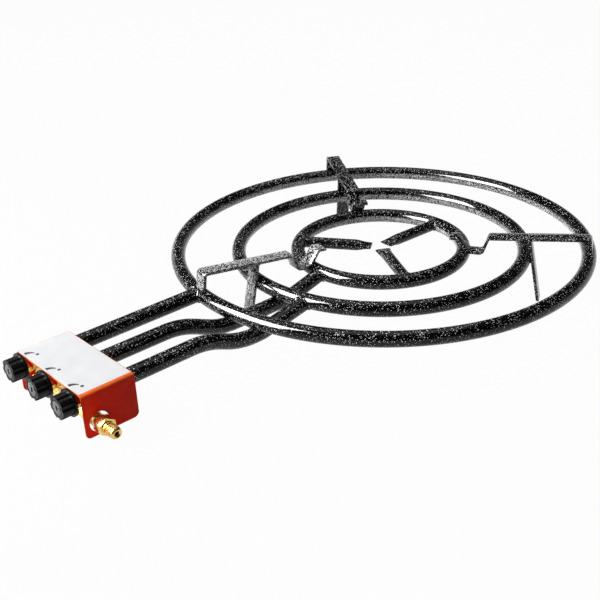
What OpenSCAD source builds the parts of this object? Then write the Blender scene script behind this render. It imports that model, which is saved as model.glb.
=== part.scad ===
// Three-ring gas burner for a wide pan, with its control bracket and taps.
// Millimetres. Z is up and the feet stand on z = 0. The rings are centred on the Z axis.
// The control bracket lies towards -Y and the gas inlet points to +X.

/* [Rings] */
// Outside diameter of the outer ring
outer_ring_d = 600; // [560:5:660]
// Outside diameter of the middle ring
middle_ring_d = 428; // [400:2:450]
// Outside diameter of the inner ring
inner_ring_d = 258; // [240:2:280]
// Outside diameter of the ring tube
tube_d = 20; // [17:0.5:23]
// Wall of the rings, pipes and centre tubes
tube_wall = 1.5; // [1:0.1:2]
// How far the middle ring lies below the outer ring
middle_drop = 5.5; // [4:0.5:9]
// How far the inner ring lies below the outer ring
inner_drop = 9.5; // [8:0.5:13]
// Height of the outer ring's centre line above the floor
stand_h = 65; // [60:1:100]
// Flame port diameter
port_d = 2.4; // [1.6:0.1:3]
// Arc length from one flame port to the next
port_pitch = 25; // [20:1:40]
// Tilt of the flame ports towards the rings' middle
port_tilt = 15; // [5:1:40]

/* [Centre tubes] */
// Diameter of the three tubes inside the inner ring
spoke_d = 16; // [13:0.5:17]
// Width of a centre tube's pinched end
pinch_w = 22; // [18:0.5:23]
// Thickness of a centre tube's pinched end
pinch_t = 3.2; // [3:0.1:4]
// Length over which a centre tube is pinched
pinch_l = 24; // [18:1:32]
// Radius of the open middle between the pinched ends
centre_r = 12.5; // [12:0.5:20]
// Bearing of the first centre tube
spoke_1_a = 88; // [84:0.5:94]
// Bearing of the second centre tube
spoke_2_a = 214.5; // [208:0.5:222]
// Bearing of the third centre tube
spoke_3_a = 331; // [324:0.5:334]

/* [Feed pipes] */
// Diameter of the feed pipes
pipe_d = 20; // [17:0.5:22]
// Distance between the feed pipes and between the taps
pipe_pitch = 53.5; // [50:0.5:57]
// Free pipe from the outer ring's outside to the bracket
pipe_out = 169; // [145:1:190]
// Start of the bends, measured outside the outer ring's centre line
bend_out = 90; // [84:1:98]
// Centre line radius of the bends that lead down
bend_r = 110; // [90:5:120]
// Angle of the bends that lead down
bend_a = 23; // [22:0.5:26]
// Centre line radius of the bends that lead up
rise_r = 60; // [45:5:70]
// Where the middle ring's pipe starts to rise, measured inside the outer ring's centre line
middle_rise_in = 12.5; // [10:0.5:30]
// Where the inner ring's pipe starts to rise, measured inside the middle ring's centre line
inner_rise_in = 23; // [15:0.5:35]
// How far below a ring's centre line its pipe comes in
feed_low = 2; // [1:0.25:3]
// Hole in a ring where its pipe comes in
feed_hole_d = 12; // [8:0.5:12.5]
// Room between a pipe and the ring that it passes under
pass_gap = 1.5; // [1.2:0.1:3]

/* [Pan supports] */
// Width of the flat bar
bar_w = 20; // [16:0.5:24]
// Thickness of the flat bar
bar_t = 4; // [3:0.1:5]
// Height of the pan support's top above the outer ring's centre line
support_h = 35; // [32:0.5:44]
// Slope of the pan support's top
support_slope = 4.8; // [4:0.1:7]
// Outward lean of the uprights on the outer ring
upright_lean = 7; // [4:0.5:12]
// How far the upright's foot lies outside the outer ring's centre line
upright_out = 2; // [0.5:0.1:3]
// Outward lean of the legs
leg_lean = 11; // [7:0.5:14]
// From the inner ring's centre line out to where the top run ends and the hook goes down
step_out = 36; // [34:0.5:40]
// Lean of the hook's outer limb
step_lean = 19; // [12:1:24]
// Lean of the hook's inner limb
hook_lean = 36; // [32:1:42]
// Bearing of the hook's seat on the inner ring's tube
hook_seat = 52; // [46:1:60]
// Bend radius of the hook on its centre line
hook_r = 6; // [4:0.25:7]
// Length of the lip at the hook's tip
lip_l = 12; // [8:0.5:16]
// Downward slope of the lip
lip_a = 6; // [0:1:15]
// Bend radius of the flat bar on its centre line
bar_r = 4; // [3:0.25:5]
// Room between a leg and the pipe beside it
leg_gap = 14.4; // [10:0.2:18]
// How far the other two supports are turned from thirds of the circle
pair_turn = 0.85; // [0:0.05:3]

/* [Bracket] */
// From an outer tap's axis to the outside of the flap beside it
flap_out = 16.5; // [15.5:0.25:20]
// Depth of the bracket from front to back
bracket_l = 68; // [64:0.5:80]
// Height of the flaps
flap_h = 55; // [50:0.5:62]
// Bracket sheet thickness
sheet_t = 1.5; // [1:0.1:2]
// Outside bend radius of the bracket
fold_r = 3; // [2.5:0.1:4]
// Radius of the flaps' lower corners
corner_r = 6.5; // [3:0.5:10]
// Hole for the gas inlet in the right flap
flap_hole_d = 24; // [21:0.5:27]
// Label thickness
label_t = 0.2; // [0.1:0.05:0.4]
// Bare rim in front of and behind the label
label_rim = 0.8; // [0.5:0.1:3]
// Bare strip between the label and the bracket's right side
label_strip = 5.4; // [4:0.1:8]

/* [Taps] */
// How far the bonnet nuts stand out past the bracket's front edge
tap_out = 1.5; // [1:0.1:2]
// Barrel diameter of a tap
barrel_d = 18; // [17:0.5:19]
// Threaded neck under the bonnet nut
neck_d = 14; // [13.6:0.1:14.6]
// Spring chamber bore
chamber_d = 11.4; // [11.1:0.1:11.8]
// Width across the flats of the bonnet nut
nut_af = 17; // [16.5:0.1:18]
// Length of the bonnet nut
nut_l = 7.5; // [6:0.5:8.5]
// Front wall of the bonnet nut
nut_wall = 2.5; // [2:0.1:3]
// Large diameter of the tapered plug
plug_d = 10.8; // [10:0.1:11]
// Small diameter of the tapered plug
plug_tip_d = 8.4; // [7.5:0.1:9]
// Length of the tapered plug
plug_l = 18.5; // [16:0.5:20]
// Distance from the plug's front to its gas port
port_in = 8.6; // [8:0.1:9.5]
// Gas passage diameter
gas_d = 4; // [3:0.1:4.4]
// Spindle diameter
spindle_d = 7; // [6:0.1:7.4]
// Spindle shaft diameter inside the spring
shaft_d = 5.5; // [5:0.1:6]
// Flat on the spindle, from its axis
spindle_flat = 2.5; // [2:0.1:2.8]
// Collar on the spindle
collar_t = 1.5; // [1:0.1:2]
// Thickness of the tongue that turns the plug
tongue_t = 2.6; // [2:0.1:3.2]
// Length of tongue inside the plug's slot
tongue_l = 1.6; // [1.2:0.1:2]
// Fitted length of the return spring
spring_l = 7; // [6.2:0.1:8]
// Wire thickness of the return spring
spring_t = 1.2; // [0.8:0.1:1.4]
// Outlet diameter of a tap
outlet_d = 10; // [9:0.1:11]
// Outlet length of a tap
outlet_l = 13; // [12:0.5:16]
// Back wall of a tap behind the plug
back_wall = 3; // [2:0.5:5]
// Width across the flats of a tap's foot
foot_af = 14; // [12:0.5:15]
// Height of a tap's foot
foot_h = 6; // [4:0.5:7]
// Thread of a tap's foot in the rail
spigot_d = 8; // [6:0.5:9]

/* [Injectors] */
// Flange of the injector holder
flange_t = 3; // [2:0.5:4]
// Length of the holder inside the pipe
holder_l = 8; // [6:0.5:9]
// Diameter of the air holes round an injector holder
air_d = 2.4; // [1.6:0.1:2.6]
// Width across the flats of an injector
jet_af = 9; // [8:0.5:10]
// Length of an injector's hexagon
jet_hex_l = 4; // [3:0.5:5]
// Length of an injector's nose
jet_nose_l = 4; // [3:0.5:5]
// Orifice of an injector
jet_d = 1.2; // [0.8:0.1:1.6]
// Thread of an injector
jet_thread_d = 6; // [5:0.1:6.5]

/* [Knobs] */
// Room between the knob's skirt and the bracket's front edge
knob_gap = 3.4; // [2.9:0.1:4]
// How far a knob pushes in
push = 2.4; // [1.5:0.1:2.5]
// Skirt diameter of a knob
skirt_d = 33; // [30:0.5:36]
// Skirt thickness of a knob
skirt_t = 2.7; // [2:0.1:4]
// Grip diameter of a knob
grip_d = 27.5; // [26:0.5:29]
// Overall length of a knob
knob_l = 17; // [16:0.5:21]
// Number of flutes on the grip
flutes = 7; // [5:1:9]
// Radius of a flute
flute_r = 4.25; // [3:0.25:5]
// Depth of a flute
flute_h = 1.7; // [1:0.1:2]
// Recess diameter behind a knob
recess_d = 21.6; // [21.2:0.1:22]
// Recess depth behind a knob
recess_l = 3.5; // [3:0.1:4]

/* [Gas rail] */
// Width across the flats of the gas rail
rail_af = 16; // [14:0.5:17]
// From an outer tap's axis to the end of the gas rail
rail_out = 9; // [8:0.25:9.5]
// Depth of the rail's axis below the pipe's axis
rail_drop = 27; // [25:0.5:29]
// Bore of the gas rail
rail_bore = 7; // [6:0.5:8]
// Thread in the rail's ends
end_thread_d = 10; // [9:0.1:11]
// Metal left between an end thread and the thread of the tap beside it
thread_room = 0.5; // [0.3:0.1:1]
// Collar diameter of the inlet adapter
inlet_collar_d = 15; // [13:0.5:16.5]
// Reach of the inlet's hexagon past the right flap
inlet_reach = 2.25; // [1:0.25:4]
// Width across the flats of the inlet's hexagon
inlet_af = 19.5; // [18:0.5:21]
// Length of the inlet's hexagon
inlet_hex_l = 15; // [11:0.5:18]
// Gas bore of the inlet
inlet_bore = 5; // [4:0.5:6]
// Thread of the nozzle inside the adapter
nozzle_thread_d = 9; // [8:0.1:10]
// Hose thread diameter of the nozzle
nozzle_d = 14; // [13:0.1:15]
// Hose thread length of the nozzle
nozzle_l = 11; // [8:0.5:14]
// Flange diameter of the nozzle
nozzle_flange_d = 15.4; // [14.5:0.1:17]
// Flange thickness of the nozzle
nozzle_flange_t = 3; // [2:0.5:5]
// Groove behind the nozzle's thread
nozzle_groove = 1.5; // [1:0.1:2]
// Length of the nozzle's tapered nose
nozzle_nose = 2.7; // [1.5:0.1:4]
// Washer thickness
washer_t = 1; // [0.5:0.1:1.5]
// Head length of the rail's end plug
plug_head_l = 3.5; // [2.5:0.1:4]

/* [Clearances] */
// Gap left for a weld
weld_gap = 0.1; // [0.05:0.01:0.2]
// Gap left for a weld at the end of a bent pipe or centre tube, where its flat facets meet a round ring
saddle_gap = 0.3; // [0.2:0.02:0.5]
// Radial clearance of what turns or slides
run_gap = 0.05; // [0.02:0.01:0.1]
// Radial clearance of what is screwed or pressed together
fit_gap = 0.05; // [0.02:0.01:0.1]
// End play of the spindle
end_gap = 0.1; // [0.05:0.01:0.2]

/* [Hidden] */
$fn = 96;

enamel = "#1c1c1e";
orange = "#c8391b";
brass = "#c9a23f";
black = "#181818";
steel = "#9a9a9a";
paper = "#f2f2f0";
washer = "#b4b4b8";

// Rings: centre line radius and height of each
tube_r = tube_d / 2;
outer_r = outer_ring_d / 2 - tube_r;
middle_r = middle_ring_d / 2 - tube_r;
inner_r = inner_ring_d / 2 - tube_r;
outer_z = stand_h;
middle_z = stand_h - middle_drop;
inner_z = stand_h - inner_drop;
tube_bore = tube_d - 2 * tube_wall;
spoke_bore = spoke_d - 2 * tube_wall;

// Feed pipes: heights of the low runs, and where each axis meets its ring
pipe_r = pipe_d / 2;
pipe_bore = pipe_d - 2 * tube_wall;
middle_dip = tube_r + pipe_r + pass_gap;
inner_dip = middle_drop + tube_r + pipe_r + pass_gap;
bend_y = outer_r + bend_out;
outer_meet = sqrt(outer_r * outer_r - pipe_pitch * pipe_pitch);
middle_meet = sqrt(middle_r * middle_r - pipe_pitch * pipe_pitch);
inner_meet = inner_r;
middle_aim = middle_dip - middle_drop - feed_low;
inner_aim = inner_dip - inner_drop - feed_low;
rise_middle = outer_meet - middle_rise_in;
rise_inner = middle_r - inner_rise_in;
middle_rise_a = atan(middle_aim / (rise_middle - middle_meet));
inner_rise_a = atan(inner_aim / (rise_inner - inner_meet));

// Bracket and taps along Y
bracket_w = 2 * (pipe_pitch + flap_out);
rail_l = 2 * (pipe_pitch + rail_out);
end_thread_l = rail_out - spigot_d / 2 - thread_room;
plate_back = -(outer_ring_d / 2 + pipe_out);
plate_front = plate_back - bracket_l;
plate_z = stand_h + pipe_r + fit_gap;
plate_top = plate_z + sheet_t;
tap_y = plate_front - tap_out;
s_collar = nut_wall + end_gap;
s_spring = s_collar + collar_t;
s_plug = s_spring + spring_l;
s_port = s_plug + port_in;
s_plug_end = s_plug + plug_l;
s_barrel = s_plug_end + back_wall;
s_pipe = s_barrel + flange_t;
s_outlet = s_barrel + outlet_l;
s_knob = tap_out - knob_gap;
s_jet = s_outlet + jet_hex_l;
pipe_y = tap_y + s_pipe;
rail_y = tap_y + s_port;
rail_z = stand_h - rail_drop;
rail_top = rail_drop - rail_af / 2;
collar_d = chamber_d - 0.6;
slot_l = tongue_l + push + 0.4;
tongue_free = push + end_gap;
inlet_x = bracket_w / 2 + inlet_reach;
nozzle_x = inlet_x + inlet_hex_l;

// Pan supports, as points of (radius, height above the outer ring's centre line)
function unit(v) = v / norm(v);
function meet(p, u, q, v) = p + u * cross(q - p, v) / cross(u, v);
function fillet(a, b, c, r, n) =
    let (u = unit(a - b), v = unit(c - b))
    let (half = acos(u * v) / 2)
    let (m = b + unit(u + v) * r / sin(half))
    let (p = b + u * r / tan(half) - m, q = b + v * r / tan(half) - m)
    let (start = atan2(p[1], p[0]))
    let (turn = (atan2(q[1], q[0]) - start + 540) % 360 - 180)
    [for (k = [0 : n]) m + r * [cos(start + turn * k / n), sin(start + turn * k / n)]];
function rounded(pts, r) = concat(
    [pts[0]],
    [for (i = [1 : len(pts) - 2]) each fillet(pts[i - 1], pts[i], pts[i + 1], r[i - 1], 6)],
    [pts[len(pts) - 1]]);
function heading(p, i) = unit(p[min(i + 1, len(p) - 1)] - p[min(i, len(p) - 2)]);
function normal(v) = [-v[1], v[0]];
function edge(p, d) = [for (i = [0 : len(p) - 1])
    let (a = normal(heading(p, max(i - 1, 0))), b = normal(heading(p, i)))
    let (m = unit(a + b))
    p[i] + m * d / (m * a)];
function flip(p) = [for (i = [len(p) - 1 : -1 : 0]) p[i]];
function strip(p, t) = concat(edge(p, t / 2), flip(edge(p, -t / 2)));

top_u = [cos(support_slope), sin(support_slope)];
top_p = [outer_r, support_h - bar_t / 2];
leg_u = [sin(leg_lean), -cos(leg_lean)];
leg_n = [cos(leg_lean), sin(leg_lean)];
leg_p = [middle_r, -middle_drop] + leg_n * (tube_r + weld_gap + bar_t / 2);
leg_top = meet(top_p, top_u, leg_p, leg_u);
leg_foot = leg_p + leg_u * (stand_h - middle_drop + bar_w) / cos(leg_lean);
hook_m = [inner_r, -inner_drop]
    + (tube_r + weld_gap + bar_t / 2 + hook_r) * [cos(hook_seat), sin(hook_seat)];
hook_low = hook_m[1] - hook_r;
limb_u = [-sin(hook_lean), cos(hook_lean)];
limb_p = hook_m + hook_r * [-cos(hook_lean), -sin(hook_lean)];
hook_in = meet([0, hook_low], [1, 0], limb_p, limb_u);
step_r = inner_r + step_out;
step_top = [step_r, top_p[1] + (step_r - outer_r) * tan(support_slope)];
hook_out = meet([0, hook_low], [1, 0], step_top, [-sin(step_lean), -cos(step_lean)]);
hook_tip = meet(top_p, top_u, limb_p, limb_u);
lip_end = hook_tip - lip_l * [cos(lip_a), sin(lip_a)];
upright_u = [-sin(upright_lean), cos(upright_lean)];
upright_p = [outer_r + upright_out, tube_r];
upright_top = meet(top_p, top_u, upright_p, upright_u);
leg_path = rounded(
    [leg_foot, leg_top, step_top, hook_out, hook_in, hook_tip, lip_end],
    [bar_r, bar_r, hook_r, hook_r, bar_r]);
join_u = unit(leg_foot - leg_top);
join_reach = bar_r / tan(acos(join_u * -top_u) / 2);
support_end = leg_top - top_u * join_reach;
support_path = rounded([upright_p - upright_u * tube_r, upright_top, support_end], [bar_r]);

// The first support stands beside the inner ring's pipe,
// and the other two about a third of a turn from that pipe
leg_low = leg_p + leg_u * (inner_dip - middle_drop) / cos(leg_lean);
support_turn = asin((pipe_r + leg_gap + bar_w / 2) / leg_low[0]);
function support_a(n) = 270 + 120 * (n - 1) - (n == 1 ? support_turn : pair_turn);
function spoke_a(n) = [spoke_1_a, spoke_2_a, spoke_3_a][n - 1];
function away(a, b) = abs((a - b + 900) % 360 - 180);
function covered(a) = min([for (n = [1 : 3]) away(a, support_a(n))]);
function tap_x(n) = (n - 2) * pipe_pitch;

module torus(r, d) {
    rotate_extrude($fn = 180)
        translate([r, 0])
            circle(d = d);
}

module ports(r) {
    count = round(2 * PI * r / port_pitch);
    for (i = [0 : count - 1]) {
        a = (i + 0.5) * 360 / count;
        if (covered(a) * PI / 180 * r > bar_w / 2 + port_d) {
            rotate([0, 0, a])
                translate([r, 0, 0])
                    rotate([0, -port_tilt, 0])
                        rotate([0, 0, 90])
                            cylinder(d = port_d, h = tube_d, $fn = 24);
        }
    }
}

module hollow_ring(r) {
    difference() {
        torus(r, tube_d);
        torus(r, tube_bore);
        ports(r);
    }
}

// A hollow tube is swept in the X-Z plane along straights [0, length] and bends [side, radius, angle],
// where side is 1 up or -1 down. Each station is [x, z, heading].
// The last ring of points is cut to the saddle of the ring that it meets.
sides = 24;
pinch_steps = 6;
function stations(steps, p, i = 0) =
    i == len(steps) ? [p] :
    let (s = steps[i], h = p[2])
    s[0] == 0 ?
        concat([p], stations(steps, [p[0] + s[1] * cos(h), p[1] + s[1] * sin(h), h], i + 1)) :
        concat(
            [for (k = [0 : 4]) turned(p, s[0], s[1], s[2] * k / 5)],
            stations(steps, turned(p, s[0], s[1], s[2]), i + 1));
function turned(p, side, r, a) =
    let (h = p[2], e = p[2] + side * a)
    [p[0] + side * r * (sin(e) - sin(h)), p[1] + side * r * (cos(h) - cos(e)), e];
function on_station(p, r, a) =
    [p[0] - r * sin(a) * sin(p[2]), r * cos(a), p[1] + r * sin(a) * cos(p[2])];
// o is where the local frame's origin lies, r and drop are the ring's radius and depth below it.
function depth(q, o, r, drop) =
    norm([norm([o[0] - q[1], o[1] + q[0]]) - r, q[2] + drop]) - tube_r - saddle_gap;
function saddle(q, u, o, r, drop, low, high, n) =
    n == 0 ? q - u * high :
    depth(q - u * (low + high) / 2, o, r, drop) < 0 ?
        saddle(q, u, o, r, drop, (low + high) / 2, high, n - 1) :
        saddle(q, u, o, r, drop, low, (low + high) / 2, n - 1);
function end_ring(p, d, o, r, drop) = [for (k = [0 : sides - 1])
    let (q = on_station(p, d, k * 360 / sides), u = [cos(p[2]), 0, sin(p[2])])
    depth(q, o, r, drop) < 0 ? saddle(q, u, o, r, drop, 0, tube_d, 30) : q];
function skin(path, d, o, r, drop) = concat(
    [for (i = [0 : len(path) - 2]) for (k = [0 : sides - 1]) on_station(path[i], d, k * 360 / sides)],
    end_ring(path[len(path) - 1], d, o, r, drop));
function clean(path) = [for (i = [0 : len(path) - 1])
    if (i == 0 || norm(path[i] - path[i - 1]) > 0.001) path[i]];
function wall(first, spans, out) = [for (i = [0 : spans - 1]) for (k = [0 : sides - 1])
    let (a = first + i * sides + k, b = first + i * sides + (k + 1) % sides)
    each out ?
        [[a, b, b + sides], [a, b + sides, a + sides]] :
        [[b, a, a + sides], [b, a + sides, b + sides]]];
function rim(first, second) = [for (k = [0 : sides - 1])
    let (a = first + k, b = first + (k + 1) % sides, c = second + k, d = second + (k + 1) % sides)
    each [[a, b, d], [a, d, c]]];
function flipped(faces) = [for (f = faces) [f[0], f[2], f[1]]];
function cap(first) = [for (k = [1 : sides - 2]) [first, first + k, first + k + 1]];

module swept_tube(steps, o, r, drop) {
    path = clean(stations(steps, [0, 0, 0]));
    last = len(path) - 1;
    inside = (last + 1) * sides;
    polyhedron(
        concat(
            skin(path, pipe_r, o, r, drop),
            skin(path, pipe_bore / 2 / cos(180 / sides), o, r, drop)),
        concat(
            wall(0, last, true),
            wall(inside, last, false),
            rim(inside, 0),
            rim(last * sides, inside + last * sides)));
}

function dip_straight(dip) = (dip - 2 * bend_r * (1 - cos(bend_a))) / sin(bend_a);
function dip_run(dip) = 2 * bend_r * sin(bend_a) + dip_straight(dip) * cos(bend_a);
function dip_steps(dip, rise, rise_a, aim) = [
    [0, -pipe_y - bend_y],
    [-1, bend_r, bend_a],
    [0, dip_straight(dip)],
    [1, bend_r, bend_a],
    [0, bend_y - dip_run(dip) - rise - rise_r * tan(rise_a / 2)],
    [1, rise_r, rise_a],
    [0, aim / sin(rise_a) - rise_r * tan(rise_a / 2)]
];

// From pipe n into its ring, up to the ring's centre line
module feed_hole(n) {
    r = n == 1 ? outer_meet : n == 2 ? inner_meet : middle_meet;
    a = n == 1 ? 0 : n == 2 ? inner_rise_a : middle_rise_a;
    z = n == 1 ? stand_h : n == 2 ? inner_z - feed_low : middle_z - feed_low;
    translate([tap_x(n), -r, z])
        rotate([90 + a, 0, 0])
            cylinder(d = feed_hole_d, h = 2 * tube_d);
}

module outer_feed_pipe() {
    color(enamel)
        difference() {
            translate([tap_x(1), pipe_y, stand_h])
                rotate([-90, 0, 0])
                    difference() {
                        cylinder(d = pipe_d, h = -pipe_y - outer_meet);
                        translate([0, 0, -1])
                            cylinder(d = pipe_bore, h = -pipe_y);
                    }
            translate([0, 0, outer_z])
                torus(outer_r, tube_d + 2 * weld_gap);
        }
}

module inner_feed_pipe() {
    color(enamel)
        translate([tap_x(2), pipe_y, stand_h])
            rotate([0, 0, 90])
                swept_tube(
                    dip_steps(inner_dip, rise_inner, inner_rise_a, inner_aim),
                    [tap_x(2), pipe_y], inner_r, inner_drop);
}

module middle_feed_pipe() {
    color(enamel)
        translate([tap_x(3), pipe_y, stand_h])
            rotate([0, 0, 90])
                swept_tube(
                    dip_steps(middle_dip, rise_middle, middle_rise_a, middle_aim),
                    [tap_x(3), pipe_y], middle_r, middle_drop);
}

module spoke_axis(n, d) {
    translate([0, 0, inner_z])
        rotate([0, 0, spoke_a(n)])
            translate([centre_r + pinch_l, 0, 0])
                rotate([0, 90, 0])
                    cylinder(d = d, h = inner_r - centre_r - pinch_l);
}

module outer_ring() {
    color(enamel)
        difference() {
            translate([0, 0, outer_z])
                hollow_ring(outer_r);
            feed_hole(1);
        }
}

module middle_ring() {
    color(enamel)
        difference() {
            translate([0, 0, middle_z])
                hollow_ring(middle_r);
            feed_hole(3);
        }
}

module inner_ring() {
    color(enamel)
        difference() {
            translate([0, 0, inner_z])
                hollow_ring(inner_r);
            feed_hole(2);
            for (n = [1 : 3])
                spoke_axis(n, spoke_bore);
        }
}

// Half the width and half the thickness of a centre tube, at a share t of its pinch
function pinch(t) = [pinch_w, pinch_t] / 2 + (1 - cos(180 * t)) / 4 * [spoke_d - pinch_w, spoke_d - pinch_t];

module centre_tube(n) {
    inside = (pinch_steps + 2) * sides;
    round_at = centre_r + pinch_l;
    outer_skin = concat(
        [for (i = [0 : pinch_steps]) for (k = [0 : sides - 1])
            let (h = pinch(i / pinch_steps), a = k * 360 / sides)
            [centre_r + pinch_l * i / pinch_steps, h[0] * cos(a), h[1] * sin(a)]],
        end_ring([inner_r, 0, 0], spoke_d / 2, [0, 0], inner_r, 0));
    inner_skin = skin(
        [[round_at, 0, 0], [inner_r, 0, 0]], spoke_bore / 2 / cos(180 / sides), [0, 0], inner_r, 0);
    color(enamel)
        translate([0, 0, inner_z])
            rotate([0, 0, spoke_a(n)])
                polyhedron(
                    concat(outer_skin, inner_skin),
                    concat(
                        wall(0, pinch_steps + 1, true),
                        wall(inside, 1, false),
                        flipped(cap(0)),
                        cap(inside),
                        rim(inside - sides, inside + sides)));
}

module bar(n) {
    translate([0, 0, stand_h])
        rotate([0, 0, support_a(n)])
            rotate([90, 0, 0])
                linear_extrude(height = bar_w, center = true)
                    children();
}

module pan_support(n) {
    color(enamel)
        difference() {
            bar(n)
                difference() {
                    polygon(strip(support_path, bar_t));
                    polygon(strip(leg_path, bar_t + 2 * weld_gap));
                }
            translate([0, 0, outer_z])
                torus(outer_r, tube_d + 2 * weld_gap);
            translate([tap_x(1), pipe_y, stand_h])
                rotate([-90, 0, 0])
                    cylinder(d = pipe_d + 2 * weld_gap, h = -pipe_y - outer_meet);
        }
}

module support_leg(n) {
    color(enamel)
        bar(n)
            difference() {
                polygon(strip(leg_path, bar_t));
                translate([0, -stand_h - 2 * bar_w])
                    square([outer_r, 2 * bar_w]);
            }
}

module flap_outline() {
    difference() {
        square([bracket_l, flap_h]);
        for (x = [0, bracket_l])
            translate([x - corner_r, -corner_r])
                square(2 * corner_r);
    }
    translate([corner_r, 0])
        square([bracket_l - 2 * corner_r, flap_h]);
    for (x = [corner_r, bracket_l - corner_r])
        translate([x, corner_r])
            circle(r = corner_r);
}

module fold_outline(inset) {
    w = bracket_w - 2 * inset;
    r = fold_r - inset;
    translate([-w / 2 + r, -flap_h])
        square([w - 2 * r, flap_h - inset]);
    translate([-w / 2, -flap_h])
        square([w, flap_h - inset - r]);
    for (x = [-w / 2 + r, w / 2 - r])
        translate([x, -inset - r])
            circle(r = r);
}

module control_bracket() {
    color(orange)
        difference() {
            intersection() {
                translate([0, plate_back, plate_top])
                    rotate([90, 0, 0])
                        linear_extrude(height = bracket_l)
                            difference() {
                                fold_outline(0);
                                fold_outline(sheet_t);
                            }
                translate([-bracket_w, plate_front, plate_top - flap_h])
                    rotate([90, 0, 90])
                        linear_extrude(height = 2 * bracket_w)
                            flap_outline();
            }
            translate([0, rail_y, rail_z])
                rotate([0, 90, 0])
                    cylinder(d = flap_hole_d, h = bracket_w);
        }
}

module label() {
    color(paper)
        translate([-bracket_w / 2 + fold_r, plate_front + label_rim, plate_top])
            cube([bracket_w - fold_r - label_strip, bracket_l - 2 * label_rim, label_t]);
}

module hex(af, h) {
    cylinder(d = af / cos(30), h = h, $fn = 6);
}

// Along X at the gas rail, measured from the bracket's middle
module on_rail(x) {
    translate([x, rail_y, rail_z])
        rotate([0, 90, 0])
            children();
}

// Along Y at tap n, measured inwards from the front of its bonnet nut
module on_tap(n, s) {
    translate([tap_x(n), tap_y + s, stand_h])
        rotate([-90, 0, 0])
            children();
}

// Downwards from the axis of tap n at its gas port
module under_tap(n, h) {
    translate([tap_x(n), rail_y, stand_h - h])
        rotate([180, 0, 0])
            children();
}

module gas_rail() {
    color(brass)
        difference() {
            on_rail(-rail_l / 2)
                rotate([0, 0, 30])
                    hex(rail_af, rail_l);
            on_rail(-rail_l / 2 - 1)
                cylinder(d = rail_bore, h = rail_l + 2);
            on_rail(-rail_l / 2 - 1)
                cylinder(d = end_thread_d, h = end_thread_l + 1);
            on_rail(rail_l / 2 - end_thread_l)
                cylinder(d = end_thread_d, h = end_thread_l + 1);
            for (n = [1 : 3])
                under_tap(n, rail_top - 1)
                    cylinder(d = spigot_d, h = rail_af / 2 + 1);
        }
}

module rail_end_plug() {
    color(brass) {
        on_rail(-rail_l / 2 - plug_head_l)
            hex(rail_af - 1, plug_head_l);
        on_rail(-rail_l / 2)
            cylinder(d = end_thread_d - 2 * fit_gap, h = end_thread_l - fit_gap);
    }
}

module inlet_washer() {
    color(washer)
        on_rail(rail_l / 2)
            difference() {
                cylinder(d = inlet_collar_d, h = washer_t);
                translate([0, 0, -1])
                    cylinder(d = end_thread_d, h = washer_t + 2);
            }
}

module inlet_adapter() {
    color(brass)
        difference() {
            union() {
                on_rail(rail_l / 2 - end_thread_l + fit_gap)
                    cylinder(d = end_thread_d - 2 * fit_gap, h = end_thread_l + washer_t);
                on_rail(rail_l / 2 + washer_t)
                    cylinder(d = inlet_collar_d, h = inlet_x - rail_l / 2 - washer_t);
                on_rail(inlet_x)
                    intersection() {
                        hex(inlet_af, inlet_hex_l);
                        cylinder(d = inlet_af * 1.1, h = inlet_hex_l);
                    }
            }
            on_rail(rail_l / 2 - end_thread_l)
                cylinder(d = inlet_bore, h = bracket_w);
            on_rail(nozzle_x - inlet_hex_l + 1)
                cylinder(d = nozzle_thread_d, h = inlet_hex_l);
        }
}

module inlet_nozzle() {
    reach = nozzle_x + nozzle_flange_t + nozzle_groove;
    color(brass)
        difference() {
            union() {
                on_rail(nozzle_x - inlet_hex_l + 2)
                    cylinder(d = nozzle_thread_d - 2 * fit_gap, h = inlet_hex_l);
                on_rail(nozzle_x)
                    cylinder(d = nozzle_flange_d, h = nozzle_flange_t);
                on_rail(nozzle_x)
                    cylinder(d = nozzle_d - 2 * nozzle_groove, h = nozzle_flange_t + nozzle_groove + 1);
                on_rail(reach)
                    cylinder(d = nozzle_d, h = nozzle_l);
                on_rail(reach + nozzle_l)
                    cylinder(d1 = nozzle_d, d2 = nozzle_d - 2 * nozzle_nose / 1.4, h = nozzle_nose);
            }
            on_rail(nozzle_x - inlet_hex_l)
                cylinder(d = inlet_bore, h = bracket_w);
            on_rail(reach + nozzle_l + nozzle_nose - 1.5)
                cylinder(d1 = inlet_bore, d2 = inlet_bore + 3.2, h = 1.6);
        }
}

module tap_body(n) {
    color(brass)
        difference() {
            union() {
                on_tap(n, nut_wall)
                    cylinder(d = neck_d, h = nut_l);
                on_tap(n, nut_l)
                    cylinder(d = barrel_d, h = s_barrel - nut_l);
                on_tap(n, s_barrel - 1)
                    cylinder(d = outlet_d, h = outlet_l + 1);
                under_tap(n, 0)
                    cylinder(d = foot_af - 1, h = rail_top - foot_h / 2);
                under_tap(n, rail_top - foot_h)
                    hex(foot_af, foot_h);
                under_tap(n, rail_top - 1)
                    cylinder(d = spigot_d - 2 * fit_gap, h = (rail_af - rail_bore) / 2 + 1);
            }
            on_tap(n, 0)
                cylinder(d = chamber_d, h = s_plug);
            on_tap(n, s_plug)
                cylinder(d1 = plug_d + 2 * run_gap, d2 = plug_tip_d + 2 * run_gap, h = plug_l);
            on_tap(n, s_plug_end)
                cylinder(d = plug_tip_d - 1, h = 0.5);
            on_tap(n, s_plug_end)
                cylinder(d = gas_d, h = s_outlet);
            on_tap(n, s_outlet - 4)
                cylinder(d = jet_thread_d, h = 5);
            under_tap(n, 0)
                cylinder(d = gas_d, h = rail_drop);
        }
}

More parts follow.
